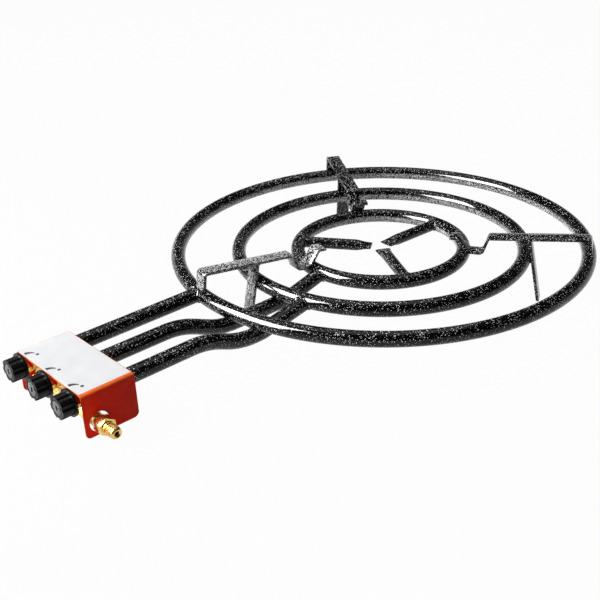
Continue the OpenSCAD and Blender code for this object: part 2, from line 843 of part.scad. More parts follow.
module tap_plug(n) {
    color(brass)
        difference() {
            on_tap(n, s_plug)
                cylinder(d1 = plug_d, d2 = plug_tip_d, h = plug_l);
            on_tap(n, s_plug)
                translate([0, 0, slot_l / 2 - 0.5])
                    cube([tongue_t + 0.3, plug_d + 1, slot_l + 1], center = true);
            on_tap(n, s_port - gas_d / 2)
                cylinder(d = gas_d, h = plug_l);
            on_tap(n, s_port)
                rotate([0, -90, 0])
                    cylinder(d = gas_d - 1, h = plug_d);
        }
}

module tap_spindle(n) {
    front = s_knob - knob_l + 2;
    color(steel) {
        difference() {
            on_tap(n, front)
                cylinder(d = spindle_d, h = s_collar - front);
            on_tap(n, front - 1)
                translate([-spindle_d, -spindle_d - spindle_flat, 0])
                    cube([2 * spindle_d, spindle_d, knob_l - recess_l - 2 + 1]);
        }
        on_tap(n, s_collar)
            cylinder(d = collar_d, h = collar_t);
        on_tap(n, s_spring)
            cylinder(d = shaft_d, h = spring_l - tongue_free);
        on_tap(n, s_plug - tongue_free)
            intersection() {
                cylinder(d = shaft_d, h = tongue_free + tongue_l);
                translate([-tongue_t / 2, -shaft_d, 0])
                    cube([tongue_t, 2 * shaft_d, tongue_free + tongue_l]);
            }
    }
}

module tap_spring(n) {
    color(steel)
        on_tap(n, s_spring)
            difference() {
                cylinder(d = shaft_d + 1 + 2 * spring_t, h = spring_l);
                translate([0, 0, -1])
                    cylinder(d = shaft_d + 1, h = spring_l + 2);
            }
}

module bonnet_nuts() {
    color(brass)
        for (n = [1 : 3])
            difference() {
                on_tap(n, 0)
                    hex(nut_af, nut_l);
                on_tap(n, -1)
                    cylinder(d = spindle_d + 2 * run_gap, h = nut_l);
                on_tap(n, nut_wall)
                    cylinder(d = neck_d + 2 * fit_gap, h = nut_l);
            }
}

module injector_holder(n) {
    color(brass)
        difference() {
            union() {
                on_tap(n, s_barrel)
                    cylinder(d = pipe_d, h = flange_t);
                on_tap(n, s_barrel)
                    cylinder(d = pipe_bore - 2 * fit_gap, h = flange_t + holder_l);
            }
            on_tap(n, s_barrel - 1)
                cylinder(d = outlet_d + 2 * fit_gap, h = flange_t + holder_l + 2);
            for (i = [0 : 5])
                on_tap(n, s_barrel - 1)
                    rotate([0, 0, i * 60])
                        translate([(outlet_d + pipe_bore) / 4, 0, 0])
                            cylinder(d = air_d, h = flange_t + holder_l + 2, $fn = 24);
        }
}

module injector(n) {
    color(brass)
        difference() {
            union() {
                on_tap(n, s_outlet - 3.5)
                    cylinder(d = jet_thread_d - 2 * fit_gap, h = 4);
                on_tap(n, s_outlet)
                    hex(jet_af, jet_hex_l);
                on_tap(n, s_jet)
                    cylinder(d1 = jet_af - 1, d2 = jet_af / 2, h = jet_nose_l);
            }
            on_tap(n, s_outlet - 4)
                cylinder(d = gas_d - 1, h = jet_hex_l + 4);
            on_tap(n, s_outlet)
                cylinder(d = jet_d, h = jet_hex_l + jet_nose_l + 1, $fn = 24);
        }
}

module knob(n) {
    front = s_knob - knob_l;
    color(black)
        difference() {
            union() {
                on_tap(n, s_knob - skirt_t)
                    cylinder(d = skirt_d, h = skirt_t);
                on_tap(n, front)
                    difference() {
                        cylinder(d = grip_d, h = knob_l);
                        for (i = [0 : flutes - 1])
                            rotate([0, 0, -90 + (i + 0.5) * 360 / flutes])
                                translate([grip_d / 2 + flute_r - flute_h, 0, -1])
                                    cylinder(r = flute_r, h = knob_l - skirt_t + 1);
                    }
            }
            on_tap(n, s_knob - recess_l)
                cylinder(d = recess_d, h = recess_l + 1);
            on_tap(n, front + 2)
                difference() {
                    cylinder(d = spindle_d + 2 * fit_gap, h = knob_l);
                    translate([-spindle_d, -spindle_d - spindle_flat - fit_gap, -1])
                        cube([2 * spindle_d, spindle_d, knob_l + 2]);
                }
            on_tap(n, front - 1)
                translate([-1.5, -3.5, 0])
                    cube([3, 7, 1.8]);
            on_tap(n, front - 1)
                difference() {
                    cylinder(d = grip_d - 2 * flute_h - 4, h = 1.5);
                    translate([0, 0, -1])
                        cylinder(d = grip_d - 2 * flute_h - 7, h = 4);
                }
        }
}

outer_ring();
middle_ring();
inner_ring();
centre_tube(1);  // centre_tube_1
centre_tube(2);  // centre_tube_2
centre_tube(3);  // centre_tube_3
outer_feed_pipe();
inner_feed_pipe();
middle_feed_pipe();
pan_support(1);  // pan_support_1
pan_support(2);  // pan_support_2
pan_support(3);  // pan_support_3
support_leg(1);  // support_leg_1
support_leg(2);  // support_leg_2
support_leg(3);  // support_leg_3
control_bracket();
label();
gas_rail();
rail_end_plug();
inlet_washer();
inlet_adapter();
inlet_nozzle();
tap_body(1);  // tap_body_1
tap_body(2);  // tap_body_2
tap_body(3);  // tap_body_3
tap_plug(1);  // tap_plug_1
tap_plug(2);  // tap_plug_2
tap_plug(3);  // tap_plug_3
tap_spindle(1);  // tap_spindle_1
tap_spindle(2);  // tap_spindle_2
tap_spindle(3);  // tap_spindle_3
tap_spring(1);  // tap_spring_1
tap_spring(2);  // tap_spring_2
tap_spring(3);  // tap_spring_3
bonnet_nuts();
injector_holder(1);  // injector_holder_1
injector_holder(2);  // injector_holder_2
injector_holder(3);  // injector_holder_3
injector(1);  // injector_1
injector(2);  // injector_2
injector(3);  // injector_3
knob(1);  // knob_1
knob(2);  // knob_2
knob(3);  // knob_3
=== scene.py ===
import math

import bmesh
import bpy
from mathutils import Euler, Matrix, Vector, noise

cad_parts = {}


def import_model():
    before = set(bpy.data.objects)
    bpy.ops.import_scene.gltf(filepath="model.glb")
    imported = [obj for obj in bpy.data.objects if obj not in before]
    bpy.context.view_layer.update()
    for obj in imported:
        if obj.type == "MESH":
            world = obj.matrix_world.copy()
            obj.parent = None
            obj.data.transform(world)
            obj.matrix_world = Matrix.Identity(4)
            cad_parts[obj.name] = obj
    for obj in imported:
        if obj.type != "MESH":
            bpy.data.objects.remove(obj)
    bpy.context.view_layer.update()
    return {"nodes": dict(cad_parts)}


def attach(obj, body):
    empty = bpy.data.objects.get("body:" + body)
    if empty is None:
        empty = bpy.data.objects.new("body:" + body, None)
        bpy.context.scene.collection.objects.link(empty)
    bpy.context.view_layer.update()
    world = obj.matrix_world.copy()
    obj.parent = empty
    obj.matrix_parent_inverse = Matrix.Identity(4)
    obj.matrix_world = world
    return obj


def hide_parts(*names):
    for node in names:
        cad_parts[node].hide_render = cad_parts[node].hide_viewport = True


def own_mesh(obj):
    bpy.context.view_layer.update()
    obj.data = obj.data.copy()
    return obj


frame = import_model()
NODES = frame["nodes"]

# Sizes of the part in metres and bearings in degrees, as its source has them
STAND = 0.065
OUTER_R, MIDDLE_R, INNER_R = 0.290, 0.204, 0.119
OUTER_Z, MIDDLE_Z, INNER_Z = STAND, STAND - 0.0055, STAND - 0.0095
TUBE_R = 0.010
SUPPORTS = (261.006, 29.15, 149.15)
SPOKES = (88.0, 214.5, 331.0)
SPOKE_R, SPOKE_TIP = 0.008, 0.0125
PINCH_LENGTH, PINCH_W, PINCH_H = 0.024, 0.011, 0.0016
PITCH = 0.0535
PIPE_Y = -0.5029
BEND_Y, BEND_R, BEND_A = 0.380, 0.110, math.radians(23)
RISE_R, FEED_LOW = 0.060, 0.002
MIDDLE_DIP, MIDDLE_AIM, MIDDLE_RISE_IN = 0.0215, 0.014, 0.0125
INNER_DIP, INNER_AIM, INNER_RISE_IN = 0.027, 0.0155, 0.023
PLATE_FRONT = -0.537
LABEL_TOP = STAND + 0.01175
KNOB_FRONT = -0.5574
RAIL_Y, RAIL_Z = -0.5188, STAND - 0.027

# Values that only the scene has: sizes in metres, the marks' arc in degrees, and for each bar weld its
# distance from the middle and its height over the outer ring's centre line
SPOKE_SHORT, PINCH_SQUARE, BEND_STEPS = 0.004, 0.35, 16
PORT_PITCH, PORT_R, PORT_TILT = 0.0085, 0.0008, math.radians(15)
PORT_DEPTH, PORT_PROUD = 0.0006, 0.00004
BAR_CLEARANCE = 0.0125
PIPE_WELD_R, PIPE_BEAD = 0.0103, 0.0021
SPOKE_WELD_R, SPOKE_BEAD = 0.0082, 0.0016
BAR_WELDS = ((0.2945, 0.0094), (0.2894, 0.0102), (0.2130, 0.0002), (0.2143, -0.0077))
BAR_WELD_LENGTH, BAR_BEAD = 0.017, 0.0011
MARK_PITCH, MARK_SHIFT, MARK_BACK = 0.0485, 0.0033, 0.0021
MARK_R, MARK_HALF, MARK_TIP, DOT_R = 0.0114, 0.0023, 0.0004, 0.0021
MARK_FROM, MARK_SWEEP = 174, 60
INK_HALF = 0.00005
THREAD_START, THREAD_PITCH, THREAD_TURNS = 0.0927, 0.00125, 8
THREAD_R, CREST_R = 0.0069, 0.00042
FACE_R, FACE_EDGE_R, FACE_HALF = 0.0080, 0.0083, 0.0002
SLOT_HALF_X, SLOT_HALF_Z = 0.0016, 0.0036


# Materials

class Shader:
    """One material's node tree, with short ways to add and join nodes."""

    def __init__(self, name):
        self.mat = bpy.data.materials.new(name)
        self.mat.use_nodes = True
        self.tree = self.mat.node_tree
        self.bsdf = self.tree.nodes["Principled BSDF"]
        self.coords = self.add("ShaderNodeTexCoord").outputs["Object"]

    def add(self, kind, **values):
        node = self.tree.nodes.new(kind)
        for key, value in values.items():
            setattr(node, key, value)
        return node

    def join(self, a, b):
        self.tree.links.new(a, b)

    def put(self, socket, value):
        if hasattr(value, "is_output"):
            self.join(value, socket)
        else:
            socket.default_value = value

    def math(self, operation, a, b=0.0, clamp=False):
        node = self.add("ShaderNodeMath", operation=operation, use_clamp=clamp)
        self.put(node.inputs[0], a)
        self.put(node.inputs[1], b)
        return node.outputs[0]

    def shifted(self, value, times, plus):
        """value * times + plus."""
        out = self.math("MULTIPLY_ADD", value, times)
        out.node.inputs[2].default_value = plus
        return out

    def noise(self, scale, detail=2.0):
        node = self.add("ShaderNodeTexNoise")
        node.inputs["Scale"].default_value = scale
        node.inputs["Detail"].default_value = detail
        self.join(self.coords, node.inputs["Vector"])
        return node.outputs["Fac"]

    def voronoi(self, scale):
        node = self.add("ShaderNodeTexVoronoi")
        node.inputs["Scale"].default_value = scale
        self.join(self.coords, node.inputs["Vector"])
        return node.outputs["Distance"], node.outputs["Color"]

    def ramp(self, value, stops):
        node = self.add("ShaderNodeValToRGB")
        ends = node.color_ramp.elements
        while len(ends) < len(stops):
            ends.new(0.5)
        for end, (place, colour) in zip(ends, stops):
            end.position = place
            end.color = colour if len(colour) == 4 else (*colour, 1.0)
        self.put(node.inputs[0], value)
        return node.outputs[0]

    def mix(self, share, a, b):
        node = self.add("ShaderNodeMix", data_type="RGBA")
        self.put(node.inputs[0], share)
        self.put(node.inputs[6], a if hasattr(a, "is_output") else (*a, 1.0))
        self.put(node.inputs[7], b if hasattr(b, "is_output") else (*b, 1.0))
        return node.outputs[2]

    def bump(self, height, strength, distance):
        node = self.add("ShaderNodeBump")
        node.inputs["Strength"].default_value = strength
        node.inputs["Distance"].default_value = distance
        self.put(node.inputs["Height"], height)
        self.join(node.outputs["Normal"], self.bsdf.inputs["Normal"])

    def set(self, **values):
        for key, value in values.items():
            self.put(self.bsdf.inputs[key.replace("_", " ")], value)
        return self.mat


def specks(s, scale, low, spread):
    """1 inside round specks of random size, about one to a cell, and 0 between them."""
    distance, colour = s.voronoi(scale)
    split = s.add("ShaderNodeSeparateColor")
    s.join(colour, split.inputs[0])
    size = s.shifted(split.outputs[0], spread, low)
    return s.math("MULTIPLY", s.math("SUBTRACT", size, distance), 14.0, clamp=True)


def floor_reflection_mask(s):
    """1 on the side of a ring that faces its middle and the floor, and 0 elsewhere. It marks where specks
    paint the white floor's reflection.
    """
    normal = s.add("ShaderNodeTexCoord").outputs["Normal"]
    flat = s.add("ShaderNodeVectorMath", operation="MULTIPLY")
    s.join(s.coords, flat.inputs[0])
    flat.inputs[1].default_value = (-1, -1, 0)
    inward = s.add("ShaderNodeVectorMath", operation="NORMALIZE")
    s.join(flat.outputs[0], inward.inputs[0])
    facing = s.add("ShaderNodeVectorMath", operation="DOT_PRODUCT")
    s.join(inward.outputs[0], facing.inputs[0])
    s.join(normal, facing.inputs[1])
    split = s.add("ShaderNodeSeparateXYZ")
    s.join(normal, split.inputs[0])
    inside = s.math("MULTIPLY", facing.outputs["Value"], 2.5, clamp=True)
    low = s.math("MULTIPLY", s.math("SUBTRACT", 0.30, split.outputs["Z"]), 3.0, clamp=True)
    return s.math("MULTIPLY", inside, low)


def enamel(name, layers, inside=None):
    """Glossy black with layers of white specks, each (cells to a metre, least size, spread of sizes).

    A layer given as inside shows only where a ring faces its middle and the floor, as a painted reflection
    of the white floor."""
    s = Shader(name)
    dots = None
    for layer in layers:
        more = specks(s, *layer)
        dots = s.math("MAXIMUM", dots, more) if dots else more
    # Painted reflection: the inside layer adds specks that stand in for the white floor mirrored on the
    # rings' lower insides.
    if inside:
        dots = s.math("MAXIMUM", dots, s.math("MULTIPLY", specks(s, *inside), floor_reflection_mask(s)))
    patches = s.ramp(s.noise(42.0, 3.0), [(0.3, (0.72,) * 3), (0.7, (1.0,) * 3)])
    both = s.math("MULTIPLY", dots, patches)
    colour = s.mix(both, (0.003, 0.003, 0.0035), (0.90, 0.90, 0.90))
    rough = s.shifted(s.noise(90.0, 2.0), 0.06, 0.07)
    peel = s.math("ADD", s.noise(240.0, 2.0), s.math("MULTIPLY", both, 0.25))
    s.bump(peel, 0.12, 0.0005)
    return s.set(Base_Color=colour, Roughness=rough, Specular_IOR_Level=0.24)


def orange_coat():
    """Painted light and shade: deep red on the flaps, which face away from the lamps, and brighter orange
    where the coat faces up or forward, towards them.
    """
    s = Shader("orange_coat")
    shaded_red = s.ramp(s.noise(35.0, 3.0), [(0.3, (0.80, 0.020, 0.005)), (0.7, (0.90, 0.026, 0.007))])
    split = s.add("ShaderNodeSeparateXYZ")
    s.join(s.add("ShaderNodeTexCoord").outputs["Normal"], split.inputs[0])
    # Painted light: the mask is 1 where the coat faces up or forward, towards the lamps.
    facing = s.math("MAXIMUM", split.outputs["Z"], s.math("MULTIPLY", split.outputs["Y"], -1.0))
    painted_light_mask = s.math("MULTIPLY", s.math("SUBTRACT", facing, 0.15), 2.2, clamp=True)
    shade = s.mix(painted_light_mask, shaded_red, (0.98, 0.17, 0.03))
    rough = s.shifted(s.noise(120.0), 0.12, 0.22)
    s.bump(s.noise(650.0, 2.0), 0.10, 0.0004)
    return s.set(Base_Color=shade, Roughness=rough, Specular_IOR_Level=0.06)


def brass():
    s = Shader("brass")
    shade = s.ramp(s.noise(160.0, 4.0), [(0.25, (0.62, 0.38, 0.10)), (0.75, (0.86, 0.60, 0.22))])
    rough = s.shifted(s.noise(420.0, 3.0), 0.16, 0.14)
    s.bump(s.noise(900.0, 2.0), 0.06, 0.0003)
    return s.set(Base_Color=shade, Roughness=rough, Metallic=1.0)


def steel():
    s = Shader("plain_steel")
    shade = s.ramp(s.noise(180.0, 4.0), [(0.2, (0.40, 0.40, 0.41)), (0.8, (0.60, 0.60, 0.61))])
    rough = s.shifted(s.noise(500.0, 3.0), 0.2, 0.25)
    return s.set(Base_Color=shade, Roughness=rough, Metallic=1.0)


def plastic():
    s = Shader("black_plastic")
    shade = s.ramp(s.noise(300.0, 3.0), [(0.3, (0.003, 0.003, 0.0032)), (0.7, (0.007, 0.0066, 0.0066))])
    rough = s.shifted(s.noise(700.0, 2.0), 0.14, 0.20)
    s.bump(s.noise(2600.0, 2.0), 0.10, 0.0002)
    return s.set(Base_Color=shade, Roughness=rough, Specular_IOR_Level=0.16)


# Near-black mottled with grey, for the knobs' faces.
def mottled_grey_plastic():
    s = Shader("grey_plastic")
    shade = s.ramp(s.noise(500.0, 3.0), [(0.35, (0.012, 0.012, 0.012)), (0.60, (0.28, 0.28, 0.285))])
    s.bump(s.noise(2600.0, 2.0), 0.12, 0.0002)
    rough = s.shifted(s.noise(700.0, 2.0), 0.15, 0.30)
    return s.set(Base_Color=shade, Roughness=rough, Specular_IOR_Level=0.2)


def paper():
    s = Shader("label_film")
    shade = s.ramp(s.noise(60.0, 3.0), [(0.3, (0.80, 0.81, 0.83)), (0.7, (0.86, 0.87, 0.885))])
    rough = s.shifted(s.noise(200.0, 2.0), 0.1, 0.32)
    return s.set(Base_Color=shade, Roughness=rough)


def ink():
    s = Shader("black_ink")
    shade = s.ramp(s.noise(900.0, 2.0), [(0.2, (0.006, 0.006, 0.007)), (0.8, (0.022, 0.022, 0.024))])
    return s.set(Base_Color=shade, Roughness=0.45)


# Painted shade: near-black standing in for the shade inside the flame ports' holes.
def port_shade():
    s = Shader("port_painted_shade")
    shade = s.ramp(s.noise(900.0, 2.0), [(0.2, (0.001, 0.001, 0.001)), (0.8, (0.006, 0.006, 0.006))])
    return s.set(Base_Color=shade, Roughness=0.8, Specular_IOR_Level=0.1)


SPARSE = ((360.0, -0.06, 0.42), (560.0, -0.02, 0.40))
ENAMEL = enamel("speckled_enamel", SPARSE)
# The rings' enamel, with extra specks painted on their lower insides as the floor's reflection.
RING_ENAMEL_WITH_REFLECTION = enamel("ring_enamel_painted_reflection", SPARSE, (700.0, 0.36, 0.46))
# The pan supports get denser specks than the rings, partly the enamel's own and partly a painted sheen that
# stands in for the bars' reflection. Support 1's still denser specks paint its lighter, lit look.
BAR_SPECKS_AND_SHEEN = enamel("bar_specks_and_sheen", ((420.0, 0.04, 0.38), (560.0, 0.02, 0.40)))
LIT_BAR_ENAMEL = enamel("dense_enamel_painted_light", ((420.0, 0.22, 0.40), (640.0, 0.22, 0.38)))
ORANGE, BRASS, STEEL = orange_coat(), brass(), steel()
PLASTIC, GREY, PAPER, INK, PORT_SHADE = plastic(), mottled_grey_plastic(), paper(), ink(), port_shade()


# Meshes

def piece(name, bm, mat, body="burner", smooth=35.0):
    """A finished piece from a bmesh: smooth shaded, sharp at the real edges, riding on a body."""
    bmesh.ops.recalc_face_normals(bm, faces=bm.faces)
    mesh = bpy.data.meshes.new(name)
    bm.to_mesh(mesh)
    bm.free()
    for face in mesh.polygons:
        face.use_smooth = True
    mesh.set_sharp_from_angle(angle=math.radians(smooth))
    mesh.materials.append(mat)
    obj = bpy.data.objects.new(name, mesh)
    bpy.context.scene.collection.objects.link(obj)
    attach(obj, body)
    return obj


def dressed(node, mat, body="burner", width=0.0, segments=2, angle=30.0):
    """A CAD node's own shape with its vertices joined and its sharp edges rounded."""
    bm = bmesh.new()
    bm.from_mesh(NODES[node].data)
    bmesh.ops.remove_doubles(bm, verts=bm.verts, dist=2e-6)
    bmesh.ops.dissolve_limit(bm, angle_limit=math.radians(1.0), verts=bm.verts, edges=bm.edges)
    if width:
        folds = [e for e in bm.edges if len(e.link_faces) == 2]
        sharp = [e for e in folds if e.calc_face_angle(0.0) > math.radians(angle)]
        bmesh.ops.bevel(bm, geom=sharp, offset=width, segments=segments, profile=0.5, affect="EDGES",
                        clamp_overlap=True)
    obj = piece(node + "_look", bm, mat, body)
    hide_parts(node)
    return obj


def rings_of(bm, loops, closed_ends=True):
    """Skins a list of loops, each a list of points of one length."""
    rows = [[bm.verts.new(p) for p in loop] for loop in loops]
    n = len(rows[0])
    for a, b in zip(rows, rows[1:]):
        for k in range(n):
            bm.faces.new((a[k], a[(k + 1) % n], b[(k + 1) % n], b[k]))
    if closed_ends:
        bm.faces.new(rows[0][::-1])
        bm.faces.new(rows[-1])
    return rows


def tube_along(bm, points, radius, sides=12, closed=False):
    """A tube along points; radius is a number or one number for each point."""
    pts = [Vector(p) for p in points]
    n = len(pts)
    rows = []
    up = None
    for i, p in enumerate(pts):
        a = pts[i - 1] if i or closed else p
        b = pts[(i + 1) % n] if i < n - 1 or closed else p
        t = (b - a).normalized()
        if up is None:
            up = t.orthogonal().normalized()
        up = (up - t * up.dot(t)).normalized()
        side = t.cross(up)
        r = radius[i] if isinstance(radius, (list, tuple)) else radius
        turns = [2 * math.pi * k / sides for k in range(sides)]
        rows.append([bm.verts.new(p + r * (math.cos(q) * up + math.sin(q) * side)) for q in turns])
    last = n if closed else n - 1
    for i in range(last):
        a, b = rows[i], rows[(i + 1) % n]
        for k in range(sides):
            bm.faces.new((a[k], a[(k + 1) % sides], b[(k + 1) % sides], b[k]))
    if not closed:
        bm.faces.new(rows[0][::-1])
        bm.faces.new(rows[-1])


def torus(bm, r, z, turns=320, sides=48):
    """A ring of tube round Z, with its centre line at radius r and height z."""
    rows = []
    for i in range(turns):
        a = 2 * math.pi * i / turns
        rows.append([bm.verts.new(((r + TUBE_R * math.cos(2 * math.pi * k / sides)) * math.cos(a),
                                   (r + TUBE_R * math.cos(2 * math.pi * k / sides)) * math.sin(a),
                                   z + TUBE_R * math.sin(2 * math.pi * k / sides))) for k in range(sides)])
    for i in range(turns):
        a, b = rows[i], rows[(i + 1) % turns]
        for k in range(sides):
            bm.faces.new((a[k], b[k], b[(k + 1) % sides], a[(k + 1) % sides]))


def ring_gap(p, r, z):
    """Distance of a point from the surface of the ring of radius r at height z."""
    return math.hypot(math.hypot(p[0], p[1]) - r, p[2] - z) - TUBE_R


def saddle(start, heading, radius, r, z, count=48):
    """Where a tube of that radius, coming along heading to start on a ring's centre line, meets the ring."""
    u = Vector(heading).normalized()
    side = u.cross(Vector((0, 0, 1))).normalized()
    up = side.cross(u)
    out = []
    for k in range(count):
        a = 2 * math.pi * k / count
        p = Vector(start) + radius * (math.cos(a) * side + math.sin(a) * up)
        low, high = 0.0, 0.02
        if ring_gap(p, r, z) < 0:
            for _ in range(30):
                mid = (low + high) / 2
                if ring_gap(p - u * mid, r, z) < 0:
                    low = mid
                else:
                    high = mid
        out.append(p - u * low)
    return out


def bead(bm, points, size, closed=True, seed=1):
    """A hand-laid weld bead along points."""
    sizes = [size * (0.8 + 0.45 * noise.noise(Vector(p) * 420 + Vector((seed, 0, 0)))) for p in points]
    tube_along(bm, points, sizes, 8, closed)


# The three rings with their flame ports

def burner_ring(node, r, z):
    """A ring, and dark plugs that paint the shade inside its flame ports wherever no support stands."""
    bm = bmesh.new()
    torus(bm, r, z)
    obj = piece(node + "_look", bm, RING_ENAMEL_WITH_REFLECTION)
    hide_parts(node)
    ports = bmesh.new()
    count = round(2 * math.pi * r / PORT_PITCH)
    lean, rise = math.sin(PORT_TILT), math.cos(PORT_TILT)
    for i in range(count):
        a = 2 * math.pi * (i + 0.5) / count
        nearest = min(abs((math.degrees(a) - b + 180) % 360 - 180) for b in SUPPORTS)
        if math.radians(nearest) * r < BAR_CLEARANCE:
            continue
        n = Vector((-lean * math.cos(a), -lean * math.sin(a), rise))
        c = Vector((r * math.cos(a), r * math.sin(a), z)) + n * TUBE_R
        t = Vector((-math.sin(a), math.cos(a), 0))
        s = n.cross(t)
        rim = [PORT_R * (math.cos(q * math.pi / 5) * t + math.sin(q * math.pi / 5) * s) for q in range(10)]
        rings_of(ports, [[c - PORT_DEPTH * n + p for p in rim], [c + PORT_PROUD * n + p for p in rim]])
    piece(node + "_ports", ports, PORT_SHADE)


burner_ring("outer_ring", OUTER_R, OUTER_Z)
burner_ring("middle_ring", MIDDLE_R, MIDDLE_Z)
burner_ring("inner_ring", INNER_R, INNER_Z)


# Centre tubes with pinched ends

def centre_tube(n):
    """A round tube from the inner ring that flattens to a wide, thin tip."""
    turn = Matrix.Rotation(math.radians(SPOKES[n - 1]), 3, "Z")
    sides, steps = 48, 16
    loops = []

    def loop(x, w, h, power):
        points = []
        for k in range(sides):
            q = 2 * math.pi * k / sides
            c, s = math.cos(q), math.sin(q)
            across = w * math.copysign(abs(c) ** power, c)
            up = h * math.copysign(abs(s) ** power, s)
            points.append(turn @ Vector((x, across, up)) + Vector((0, 0, INNER_Z)))
        loops.append(points)

    for i in range(steps + 1):
        t = i / steps
        e = (1 - math.cos(math.pi * t)) / 2
        w = PINCH_W + (SPOKE_R - PINCH_W) * e
        h = PINCH_H + (SPOKE_R - PINCH_H) * e
        loop(SPOKE_TIP + PINCH_LENGTH * t, w, h, 1.0 - PINCH_SQUARE * (1 - e))
    loop(INNER_R - SPOKE_SHORT, SPOKE_R, SPOKE_R, 1.0)
    bm = bmesh.new()
    rings_of(bm, loops)
    obj = piece(f"centre_tube_{n}_look", bm, ENAMEL)
    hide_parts(f"centre_tube_{n}")


for n in (1, 2, 3):
    centre_tube(n)


# Feed pipes

def turned(p, side, r, a):
    """Where a bend of radius r through angle a leads from p, which is (along, up, slope)."""
    x, z, h = p
    e = h + side * a
    return (x + side * r * (math.sin(e) - math.sin(h)), z + side * r * (math.cos(h) - math.cos(e)), e)


def stations(steps):
    """Points along a pipe from its steps: (0, length) for a straight, (side, radius, angle) for a bend."""
    out = [(0.0, 0.0, 0.0)]
    for step in steps:
        x, z, h = out[-1]
        if step[0] == 0:
            out.append((x + step[1] * math.cos(h), z + step[1] * math.sin(h), h))
        else:
            side, r, a = step
            out += [turned((x, z, h), side, r, a * k / BEND_STEPS) for k in range(1, BEND_STEPS + 1)]
    return out


def dip_steps(dip, rise, rise_a, aim):
    """Steps of a pipe that dips under the outer ring, runs level and rises to its own ring."""
    straight = (dip - 2 * BEND_R * (1 - math.cos(BEND_A))) / math.sin(BEND_A)
    run = 2 * BEND_R * math.sin(BEND_A) + straight * math.cos(BEND_A)
    tail = RISE_R * math.tan(rise_a / 2)
    return [(0, -PIPE_Y - BEND_Y), (-1, BEND_R, BEND_A), (0, straight), (1, BEND_R, BEND_A),
            (0, BEND_Y - run - rise - tail), (1, RISE_R, rise_a), (0, aim / math.sin(rise_a) - tail)]


def feed_pipe(node, x, path):
    """A pipe at x along stations (along, up, slope) from its front end."""
    sides = 48
    loops = []
    for px, pz, h in path:
        loop = []
        for k in range(sides):
            c, s = math.cos(2 * math.pi * k / sides), math.sin(2 * math.pi * k / sides)
            loop.append((x - TUBE_R * c,
                         PIPE_Y + px - TUBE_R * s * math.sin(h),
                         OUTER_Z + pz + TUBE_R * s * math.cos(h)))
        loops.append(loop)
    bm = bmesh.new()
    rings_of(bm, loops)
    obj = piece(node + "_look", bm, ENAMEL)
    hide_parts(node)


outer_meet = math.sqrt(OUTER_R ** 2 - PITCH ** 2)
middle_meet = math.sqrt(MIDDLE_R ** 2 - PITCH ** 2)
middle_rise = math.atan(MIDDLE_AIM / (outer_meet - MIDDLE_RISE_IN - middle_meet))
inner_rise = math.atan(INNER_AIM / (MIDDLE_R - INNER_RISE_IN - INNER_R))
middle_foot = middle_meet + MIDDLE_AIM / math.tan(middle_rise)
inner_foot = INNER_R + INNER_AIM / math.tan(inner_rise)
feed_pipe("outer_feed_pipe", -PITCH, [(0, 0, 0), (-PIPE_Y - outer_meet, 0, 0)])
feed_pipe("inner_feed_pipe", 0.0, stations(dip_steps(INNER_DIP, inner_foot, inner_rise, INNER_AIM)))
feed_pipe("middle_feed_pipe", PITCH, stations(dip_steps(MIDDLE_DIP, middle_foot, middle_rise, MIDDLE_AIM)))


# Weld beads

def pipe_weld(x, y, z, slope, r, ring_z, seed):
    """A bead where a feed pipe of that slope meets its ring at (x, y, z)."""
    path = saddle((x, y, z), (0, math.cos(slope), math.sin(slope)), PIPE_WELD_R, r, ring_z)
    bead(welds, path, PIPE_BEAD, seed=seed)


welds = bmesh.new()
pipe_weld(-PITCH, -outer_meet, OUTER_Z, 0.0, OUTER_R, OUTER_Z, 3)
pipe_weld(PITCH, -middle_meet, MIDDLE_Z - FEED_LOW, middle_rise, MIDDLE_R, MIDDLE_Z, 5)
pipe_weld(0, -INNER_R, INNER_Z - FEED_LOW, inner_rise, INNER_R, INNER_Z, 7)
for k, b in enumerate(SPOKES):
    c, s = math.cos(math.radians(b)), math.sin(math.radians(b))
    path = saddle((INNER_R * c, INNER_R * s, INNER_Z), (c, s, 0), SPOKE_WELD_R, INNER_R, INNER_Z)
    bead(welds, path, SPOKE_BEAD, seed=10 + k)
for k, b in enumerate(SUPPORTS):
    c, s = math.cos(math.radians(b)), math.sin(math.radians(b))
    for j, (rho, up) in enumerate(BAR_WELDS):
        row = [(rho * c - t * s, rho * s + t * c, OUTER_Z + up)
               for t in (-BAR_WELD_LENGTH / 2 + BAR_WELD_LENGTH * i / 10 for i in range(11))]
        bead(welds, row, BAR_BEAD, closed=False, seed=20 + 5 * k + j)
piece("weld_beads", welds, ENAMEL)


# Pan supports and legs

for n in (1, 2, 3):
    # Painted light: support 1 takes the densest specks, a lighter copy of the bars' enamel for where it
    # catches the lamps.
    coat = LIT_BAR_ENAMEL if n == 1 else BAR_SPECKS_AND_SHEEN
    dressed(f"pan_support_{n}", coat, width=0.0005)
    dressed(f"support_leg_{n}", coat, width=0.0005)


# Control bracket and label

dressed("control_bracket", ORANGE, width=0.00025)
dressed("label", PAPER, width=0.00005, segments=1)

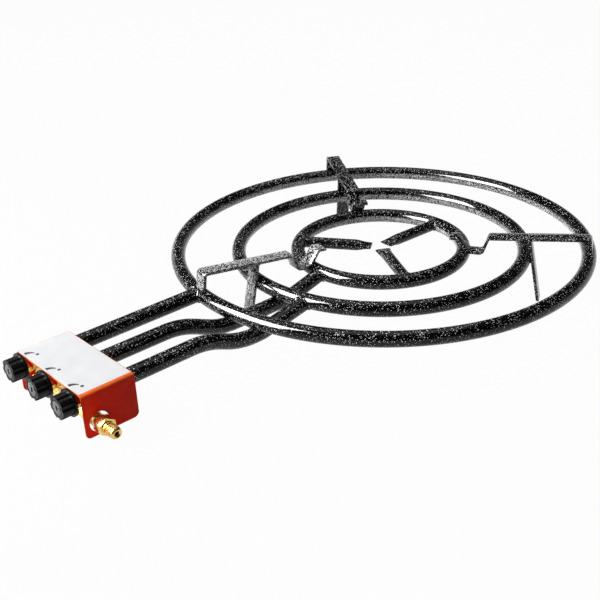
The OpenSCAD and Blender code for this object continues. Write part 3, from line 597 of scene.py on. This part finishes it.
marks = bmesh.new()
for i in (-1, 0, 1):
    x0, y0 = i * MARK_PITCH + MARK_SHIFT, PLATE_FRONT + MARK_BACK
    steps = 16
    edge = [], []
    for k in range(steps + 1):
        t = k / steps
        a = math.radians(MARK_FROM - MARK_SWEEP * t)
        half = MARK_HALF * (1 - t) ** 0.8 + MARK_TIP
        for side, row in zip((1, -1), edge):
            r = MARK_R + side * half
            row.append((x0 + r * math.cos(a), y0 + r * math.sin(a)))
    dot = [(x0 + DOT_R * math.cos(q * math.pi / 10), y0 + MARK_R + DOT_R * math.sin(q * math.pi / 10))
           for q in range(20)]
    for outline in (edge[0] + edge[1][::-1], dot):
        rings_of(marks, [[(x, y, LABEL_TOP + h) for x, y in outline] for h in (-INK_HALF, INK_HALF)])
piece("label_marks", marks, INK)


# Gas hardware, taps and knobs

for node in ("gas_rail", "rail_end_plug", "inlet_adapter", "inlet_nozzle", "bonnet_nuts"):
    dressed(node, BRASS, width=0.0003)
for n in (1, 2, 3):
    dressed(f"tap_body_{n}", BRASS, width=0.0003)
    dressed(f"injector_holder_{n}", BRASS, width=0.0002)
    dressed(f"injector_{n}", BRASS, width=0.0002)
    dressed(f"tap_plug_{n}", BRASS, f"plug_{n}", width=0.0001)
    spring = dressed(f"tap_spring_{n}", STEEL, f"plug_{n}", width=0.0001)
    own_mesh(spring)
    dressed(f"tap_spindle_{n}", STEEL, f"knob_{n}", width=0.0002)
    dressed(f"knob_{n}", PLASTIC, f"knob_{n}", width=0.0006, segments=3)
dressed("inlet_washer", STEEL, width=0.0001)

thread = bmesh.new()
for k in range(THREAD_TURNS):
    crest = [(THREAD_START + THREAD_PITCH * k, RAIL_Y + THREAD_R * math.cos(q * math.pi / 24),
              RAIL_Z + THREAD_R * math.sin(q * math.pi / 24)) for q in range(48)]
    tube_along(thread, crest, CREST_R, 8, closed=True)
piece("nozzle_thread", thread, BRASS)


def knob_face(n):
    """A mottled grey disc round the slot in the knob's front."""
    x0 = (n - 2) * PITCH
    count = 48
    loops = []
    outline = ((0.0, FACE_HALF), (0.0, -FACE_HALF), (FACE_R, -FACE_HALF),
               (FACE_EDGE_R, 0.0), (FACE_EDGE_R, FACE_HALF))
    for r, y in outline:
        loop = []
        for k in range(count):
            c, s = math.cos(2 * math.pi * k / count), math.sin(2 * math.pi * k / count)
            if r:
                loop.append((x0 + r * c, KNOB_FRONT + y, OUTER_Z + r * s))
            else:
                reach = min(SLOT_HALF_X / max(abs(c), 1e-9), SLOT_HALF_Z / max(abs(s), 1e-9))
                loop.append((x0 + reach * c, KNOB_FRONT + y, OUTER_Z + reach * s))
        loops.append(loop)
    bm = bmesh.new()
    rows = rings_of(bm, loops, closed_ends=False)
    for k in range(count):
        bm.faces.new((rows[-1][k], rows[-1][(k + 1) % count], rows[0][(k + 1) % count], rows[0][k]))
    piece(f"knob_{n}_face", bm, GREY, f"knob_{n}")


for n in (1, 2, 3):
    knob_face(n)


# Floor, light and camera

def floor():
    """A floor that is white to the camera and in reflections, and plain grey to all other rays."""
    bm = bmesh.new()
    bmesh.ops.create_grid(bm, x_segments=1, y_segments=1, size=30.0)
    mesh = bpy.data.meshes.new("floor")
    bm.to_mesh(mesh)
    bm.free()
    obj = bpy.data.objects.new("floor", mesh)
    obj.location.z = -0.0005
    bpy.context.scene.collection.objects.link(obj)
    mat = bpy.data.materials.new("white_floor")
    mat.use_nodes = True
    tree = mat.node_tree
    tree.nodes.clear()
    out = tree.nodes.new("ShaderNodeOutputMaterial")
    diffuse = tree.nodes.new("ShaderNodeBsdfDiffuse")
    diffuse.inputs["Color"].default_value = (0.5, 0.5, 0.5, 1)
    glow = tree.nodes.new("ShaderNodeEmission")
    glow.inputs["Color"].default_value = (1, 1, 1, 1)
    path = tree.nodes.new("ShaderNodeLightPath")
    seen = tree.nodes.new("ShaderNodeMath")
    seen.operation = "MAXIMUM"
    seen2 = tree.nodes.new("ShaderNodeMath")
    seen2.operation = "MAXIMUM"
    share = tree.nodes.new("ShaderNodeMath")
    share.operation = "MULTIPLY"
    share.inputs[1].default_value = 0.97
    mix = tree.nodes.new("ShaderNodeMixShader")
    link = tree.links.new
    link(path.outputs["Is Camera Ray"], seen.inputs[0])
    link(path.outputs["Is Glossy Ray"], seen.inputs[1])
    link(seen.outputs[0], seen2.inputs[0])
    link(path.outputs["Is Transmission Ray"], seen2.inputs[1])
    link(seen2.outputs[0], share.inputs[0])
    link(share.outputs[0], mix.inputs[0])
    link(diffuse.outputs[0], mix.inputs[1])
    link(glow.outputs[0], mix.inputs[2])
    link(mix.outputs[0], out.inputs["Surface"])
    mesh.materials.append(mat)


def world():
    """A studio with a white band at the horizon, a dark ceiling and more light behind the object."""
    w = bpy.data.worlds.new("studio")
    bpy.context.scene.world = w
    w.use_nodes = True
    tree = w.node_tree
    coords = tree.nodes.new("ShaderNodeTexCoord").outputs["Generated"]
    split = tree.nodes.new("ShaderNodeSeparateXYZ")
    tree.links.new(coords, split.inputs[0])
    ramps = []
    for stops in (((0.045, 1.0), (0.09, 0.05), (0.5, 0.03)), ((0.045, 1.0), (0.15, 0.25), (0.40, 0.04))):
        ramp = tree.nodes.new("ShaderNodeValToRGB")
        ramp.color_ramp.elements.new(0.5)
        for end, (place, level) in zip(ramp.color_ramp.elements, stops):
            end.position = place
            end.color = (level, level, level, 1)
        tree.links.new(split.outputs["Z"], ramp.inputs[0])
        ramps.append(ramp.outputs[0])
    behind = tree.nodes.new("ShaderNodeVectorMath")
    behind.operation = "DOT_PRODUCT"
    behind.inputs[1].default_value = (-0.68, 0.73, 0)
    tree.links.new(coords, behind.inputs[0])
    share = tree.nodes.new("ShaderNodeMapRange")
    share.inputs["From Min"].default_value = -0.1
    share.inputs["From Max"].default_value = 0.6
    tree.links.new(behind.outputs["Value"], share.inputs["Value"])
    mix = tree.nodes.new("ShaderNodeMix")
    mix.data_type = "RGBA"
    tree.links.new(share.outputs[0], mix.inputs[0])
    tree.links.new(ramps[0], mix.inputs[6])
    tree.links.new(ramps[1], mix.inputs[7])
    tree.links.new(mix.outputs[2], tree.nodes["Background"].inputs["Color"])
    tree.nodes["Background"].inputs["Strength"].default_value = 1.0


def softbox(name, azimuth, elevation, distance, size, power, diffuse=True):
    """A soft lamp round the rings' middle. Azimuth is measured from +X towards +Y."""
    light = bpy.data.lights.new(name, "AREA")
    light.shape = "RECTANGLE"
    light.size, light.size_y = size
    light.energy = power
    obj = bpy.data.objects.new(name, light)
    a, e = math.radians(azimuth), math.radians(elevation)
    aim = Vector((0, -0.05, STAND - 0.005))
    d = Vector((math.cos(e) * math.cos(a), math.cos(e) * math.sin(a), math.sin(e)))
    obj.location = aim + d * distance
    obj.rotation_euler = d.to_track_quat("Z", "Y").to_euler()
    obj.visible_diffuse = diffuse
    bpy.context.scene.collection.objects.link(obj)


floor()
world()
softbox("key", 242, 36, 2.2, (1.8, 1.2), 51)
softbox("sheen", 242, 31, 2.2, (1.7, 1.55), 520, diffuse=False)
softbox("top", 150, 75, 2.6, (2.4, 2.4), 23)

camera = bpy.data.cameras.new("camera")
camera.sensor_width = 36.0
camera.lens = 56.9749
camera.clip_start = 0.01
cam = bpy.data.objects.new("camera", camera)
cam.location = (0.85902, -0.92643, STAND + 0.54992)
cam.rotation_euler = Euler((math.radians(62.9497), math.radians(1.8774), math.radians(47.2692)), "XYZ")
bpy.context.scene.collection.objects.link(cam)
bpy.context.scene.camera = cam
bpy.context.scene.view_settings.view_transform = "Standard"
